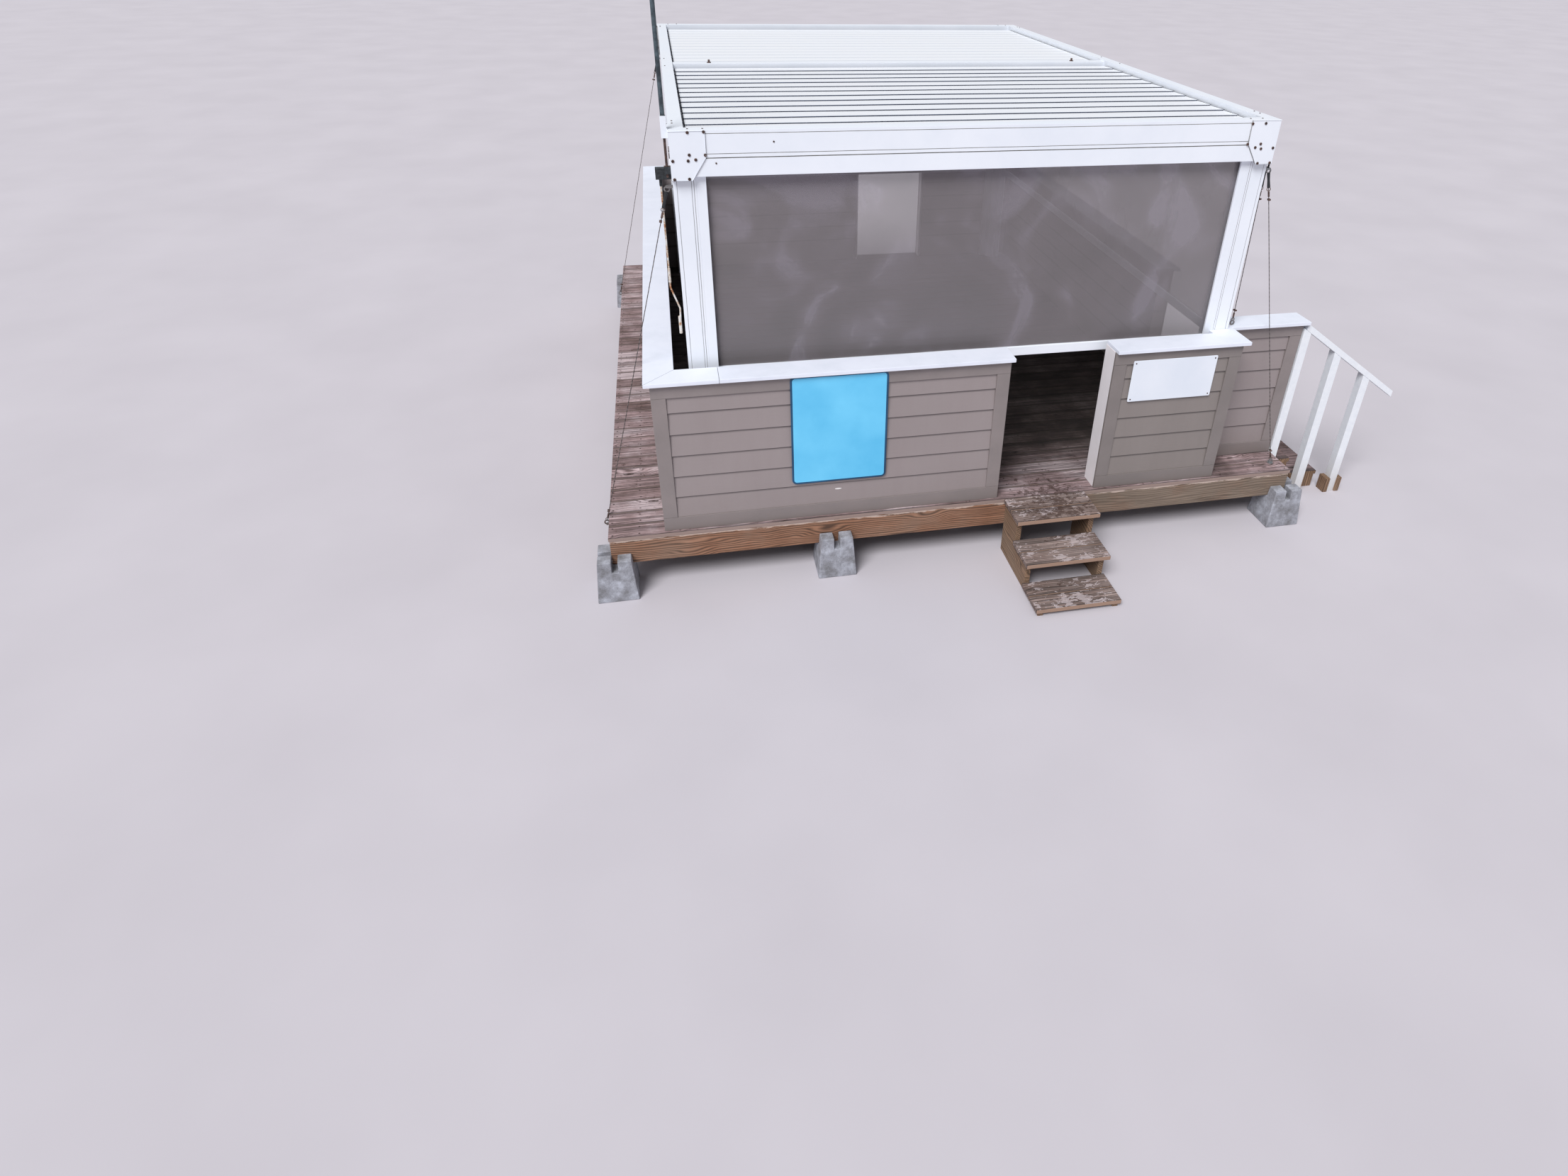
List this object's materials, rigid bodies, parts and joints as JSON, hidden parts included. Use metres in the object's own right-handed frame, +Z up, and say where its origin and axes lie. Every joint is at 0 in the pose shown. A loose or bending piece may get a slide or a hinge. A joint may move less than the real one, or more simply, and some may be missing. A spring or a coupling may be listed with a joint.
{
  "type": "beach hut with louvred pergola roof",
  "caption": "Low beach attendants' hut: timber deck on blocks, half-height lap-sided walls, roller shades and a white pergola roof of tilting louvres.",
  "frame": {"origin": "on the ground under the centre of the pergola, at the underside of the centre deck block", "axes": "+X to the right along the front, +Y from the front to the back, +Z up"},
  "size_m": [5.93, 6.052, 4.248],
  "materials": {
    "concrete": "rough cast",
    "treated_wood": "weathered treated pine",
    "deck_wood": "weathered bare boards",
    "siding": "satin paint",
    "siding_trim": "satin paint",
    "white_trim": "satin",
    "white_aluminium": "satin powder coat",
    "shade_cloth": "woven mesh",
    "worn_steel": "chipped paint, rust",
    "mast_metal": "satin",
    "stay_steel": "weathered",
    "louvre_metal": "satin powder coat"
  },
  "bodies": {
    "hut": {"deck_blocks": "concrete", "rim_joists": "treated_wood", "deck_joists": "treated_wood", "deck_floor": "deck_wood", "front_step_sides": "treated_wood", "front_step_treads": "deck_wood", "side_stair": "deck_wood", "side_rail_posts": "white_trim", "side_handrail": "white_trim", "front_wall_left": "siding", "front_wall_right": "siding", "wing_wall": "siding", "left_wall": "siding", "right_wall": "siding", "rear_wall": "siding", "trim_boards": "siding_trim", "front_caps": "white_trim", "side_caps": "white_trim", "door_jambs": "white_trim", "wall_studs": "treated_wood", "pergola_posts": "white_aluminium", "shade_guides": "white_aluminium", "end_beams": "white_aluminium", "side_beams": "white_aluminium", "middle_beam": "white_aluminium", "corner_plates": "white_aluminium", "front_shade": "shade_cloth", "back_and_side_shades": "shade_cloth", "shade_bars": "white_aluminium", "crank_handle": "worn_steel", "mast": "mast_metal", "stay_wires": "stay_steel"},
    "front_louvre_1": {"front_louvre_1": "louvre_metal"},
    "front_louvre_2": {"front_louvre_2": "louvre_metal"},
    "front_louvre_3": {"front_louvre_3": "louvre_metal"},
    "front_louvre_4": {"front_louvre_4": "louvre_metal"},
    "front_louvre_5": {"front_louvre_5": "louvre_metal"},
    "front_louvre_6": {"front_louvre_6": "louvre_metal"},
    "front_louvre_7": {"front_louvre_7": "louvre_metal"},
    "front_louvre_8": {"front_louvre_8": "louvre_metal"},
    "front_louvre_9": {"front_louvre_9": "louvre_metal"},
    "front_louvre_10": {"front_louvre_10": "louvre_metal"},
    "front_louvre_11": {"front_louvre_11": "louvre_metal"},
    "front_louvre_12": {"front_louvre_12": "louvre_metal"},
    "front_louvre_13": {"front_louvre_13": "louvre_metal"},
    "back_louvre_1": {"back_louvre_1": "louvre_metal"},
    "back_louvre_2": {"back_louvre_2": "louvre_metal"},
    "back_louvre_3": {"back_louvre_3": "louvre_metal"},
    "back_louvre_4": {"back_louvre_4": "louvre_metal"},
    "back_louvre_5": {"back_louvre_5": "louvre_metal"},
    "back_louvre_6": {"back_louvre_6": "louvre_metal"},
    "back_louvre_7": {"back_louvre_7": "louvre_metal"},
    "back_louvre_8": {"back_louvre_8": "louvre_metal"},
    "back_louvre_9": {"back_louvre_9": "louvre_metal"},
    "back_louvre_10": {"back_louvre_10": "louvre_metal"},
    "back_louvre_11": {"back_louvre_11": "louvre_metal"},
    "back_louvre_12": {"back_louvre_12": "louvre_metal"},
    "back_louvre_13": {"back_louvre_13": "louvre_metal"}
  },
  "joints": [
    {"name": "front_louvre_1_turn", "type": "hinge", "parent": "hut", "child": "front_louvre_1", "pos_m": [0, -2.2015, 2.85], "axis": [-1, 0, 0], "range_deg": [-2, 88]},
    {"name": "front_louvre_2_turn", "type": "hinge", "parent": "hut", "child": "front_louvre_2", "pos_m": [0, -2.0315, 2.85], "axis": [-1, 0, 0], "range_deg": [-2, 88]},
    {"name": "front_louvre_3_turn", "type": "hinge", "parent": "hut", "child": "front_louvre_3", "pos_m": [0, -1.8615, 2.85], "axis": [-1, 0, 0], "range_deg": [-2, 88]},
    {"name": "front_louvre_4_turn", "type": "hinge", "parent": "hut", "child": "front_louvre_4", "pos_m": [0, -1.6915, 2.85], "axis": [-1, 0, 0], "range_deg": [-2, 88]},
    {"name": "front_louvre_5_turn", "type": "hinge", "parent": "hut", "child": "front_louvre_5", "pos_m": [0, -1.5215, 2.85], "axis": [-1, 0, 0], "range_deg": [-2, 88]},
    {"name": "front_louvre_6_turn", "type": "hinge", "parent": "hut", "child": "front_louvre_6", "pos_m": [0, -1.3515, 2.85], "axis": [-1, 0, 0], "range_deg": [-2, 88]},
    {"name": "front_louvre_7_turn", "type": "hinge", "parent": "hut", "child": "front_louvre_7", "pos_m": [0, -1.1815, 2.85], "axis": [-1, 0, 0], "range_deg": [-2, 88]},
    {"name": "front_louvre_8_turn", "type": "hinge", "parent": "hut", "child": "front_louvre_8", "pos_m": [0, -1.0115, 2.85], "axis": [-1, 0, 0], "range_deg": [-2, 88]},
    {"name": "front_louvre_9_turn", "type": "hinge", "parent": "hut", "child": "front_louvre_9", "pos_m": [0, -0.8415, 2.85], "axis": [-1, 0, 0], "range_deg": [-2, 88]},
    {"name": "front_louvre_10_turn", "type": "hinge", "parent": "hut", "child": "front_louvre_10", "pos_m": [0, -0.6715, 2.85], "axis": [-1, 0, 0], "range_deg": [-2, 88]},
    {"name": "front_louvre_11_turn", "type": "hinge", "parent": "hut", "child": "front_louvre_11", "pos_m": [0, -0.5015, 2.85], "axis": [-1, 0, 0], "range_deg": [-2, 88]},
    {"name": "front_louvre_12_turn", "type": "hinge", "parent": "hut", "child": "front_louvre_12", "pos_m": [0, -0.3315, 2.85], "axis": [-1, 0, 0], "range_deg": [-2, 88]},
    {"name": "front_louvre_13_turn", "type": "hinge", "parent": "hut", "child": "front_louvre_13", "pos_m": [0, -0.1615, 2.85], "axis": [-1, 0, 0], "range_deg": [-2, 88]},
    {"name": "back_louvre_1_turn", "type": "hinge", "parent": "hut", "child": "back_louvre_1", "pos_m": [0, 0.1665, 2.85], "axis": [-1, 0, 0], "range_deg": [0, 90]},
    {"name": "back_louvre_2_turn", "type": "hinge", "parent": "hut", "child": "back_louvre_2", "pos_m": [0, 0.3365, 2.85], "axis": [-1, 0, 0], "range_deg": [0, 90]},
    {"name": "back_louvre_3_turn", "type": "hinge", "parent": "hut", "child": "back_louvre_3", "pos_m": [0, 0.5065, 2.85], "axis": [-1, 0, 0], "range_deg": [0, 90]},
    {"name": "back_louvre_4_turn", "type": "hinge", "parent": "hut", "child": "back_louvre_4", "pos_m": [0, 0.6765, 2.85], "axis": [-1, 0, 0], "range_deg": [0, 90]},
    {"name": "back_louvre_5_turn", "type": "hinge", "parent": "hut", "child": "back_louvre_5", "pos_m": [0, 0.8465, 2.85], "axis": [-1, 0, 0], "range_deg": [0, 90]},
    {"name": "back_louvre_6_turn", "type": "hinge", "parent": "hut", "child": "back_louvre_6", "pos_m": [0, 1.0165, 2.85], "axis": [-1, 0, 0], "range_deg": [0, 90]},
    {"name": "back_louvre_7_turn", "type": "hinge", "parent": "hut", "child": "back_louvre_7", "pos_m": [0, 1.1865, 2.85], "axis": [-1, 0, 0], "range_deg": [0, 90]},
    {"name": "back_louvre_8_turn", "type": "hinge", "parent": "hut", "child": "back_louvre_8", "pos_m": [0, 1.3565, 2.85], "axis": [-1, 0, 0], "range_deg": [0, 90]},
    {"name": "back_louvre_9_turn", "type": "hinge", "parent": "hut", "child": "back_louvre_9", "pos_m": [0, 1.5265, 2.85], "axis": [-1, 0, 0], "range_deg": [0, 90]},
    {"name": "back_louvre_10_turn", "type": "hinge", "parent": "hut", "child": "back_louvre_10", "pos_m": [0, 1.6965, 2.85], "axis": [-1, 0, 0], "range_deg": [0, 90]},
    {"name": "back_louvre_11_turn", "type": "hinge", "parent": "hut", "child": "back_louvre_11", "pos_m": [0, 1.8665, 2.85], "axis": [-1, 0, 0], "range_deg": [0, 90]},
    {"name": "back_louvre_12_turn", "type": "hinge", "parent": "hut", "child": "back_louvre_12", "pos_m": [0, 2.0365, 2.85], "axis": [-1, 0, 0], "range_deg": [0, 90]},
    {"name": "back_louvre_13_turn", "type": "hinge", "parent": "hut", "child": "back_louvre_13", "pos_m": [0, 2.2065, 2.85], "axis": [-1, 0, 0], "range_deg": [0, 90]}
  ],
  "couplings": [
    {"joint": "front_louvre_2_turn", "follows": "front_louvre_1_turn", "ratio": 1},
    {"joint": "front_louvre_3_turn", "follows": "front_louvre_1_turn", "ratio": 1},
    {"joint": "front_louvre_4_turn", "follows": "front_louvre_1_turn", "ratio": 1},
    {"joint": "front_louvre_5_turn", "follows": "front_louvre_1_turn", "ratio": 1},
    {"joint": "front_louvre_6_turn", "follows": "front_louvre_1_turn", "ratio": 1},
    {"joint": "front_louvre_7_turn", "follows": "front_louvre_1_turn", "ratio": 1},
    {"joint": "front_louvre_8_turn", "follows": "front_louvre_1_turn", "ratio": 1},
    {"joint": "front_louvre_9_turn", "follows": "front_louvre_1_turn", "ratio": 1},
    {"joint": "front_louvre_10_turn", "follows": "front_louvre_1_turn", "ratio": 1},
    {"joint": "front_louvre_11_turn", "follows": "front_louvre_1_turn", "ratio": 1},
    {"joint": "front_louvre_12_turn", "follows": "front_louvre_1_turn", "ratio": 1},
    {"joint": "front_louvre_13_turn", "follows": "front_louvre_1_turn", "ratio": 1},
    {"joint": "back_louvre_2_turn", "follows": "back_louvre_1_turn", "ratio": 1},
    {"joint": "back_louvre_3_turn", "follows": "back_louvre_1_turn", "ratio": 1},
    {"joint": "back_louvre_4_turn", "follows": "back_louvre_1_turn", "ratio": 1},
    {"joint": "back_louvre_5_turn", "follows": "back_louvre_1_turn", "ratio": 1},
    {"joint": "back_louvre_6_turn", "follows": "back_louvre_1_turn", "ratio": 1},
    {"joint": "back_louvre_7_turn", "follows": "back_louvre_1_turn", "ratio": 1},
    {"joint": "back_louvre_8_turn", "follows": "back_louvre_1_turn", "ratio": 1},
    {"joint": "back_louvre_9_turn", "follows": "back_louvre_1_turn", "ratio": 1},
    {"joint": "back_louvre_10_turn", "follows": "back_louvre_1_turn", "ratio": 1},
    {"joint": "back_louvre_11_turn", "follows": "back_louvre_1_turn", "ratio": 1},
    {"joint": "back_louvre_12_turn", "follows": "back_louvre_1_turn", "ratio": 1},
    {"joint": "back_louvre_13_turn", "follows": "back_louvre_1_turn", "ratio": 1}
  ]
}
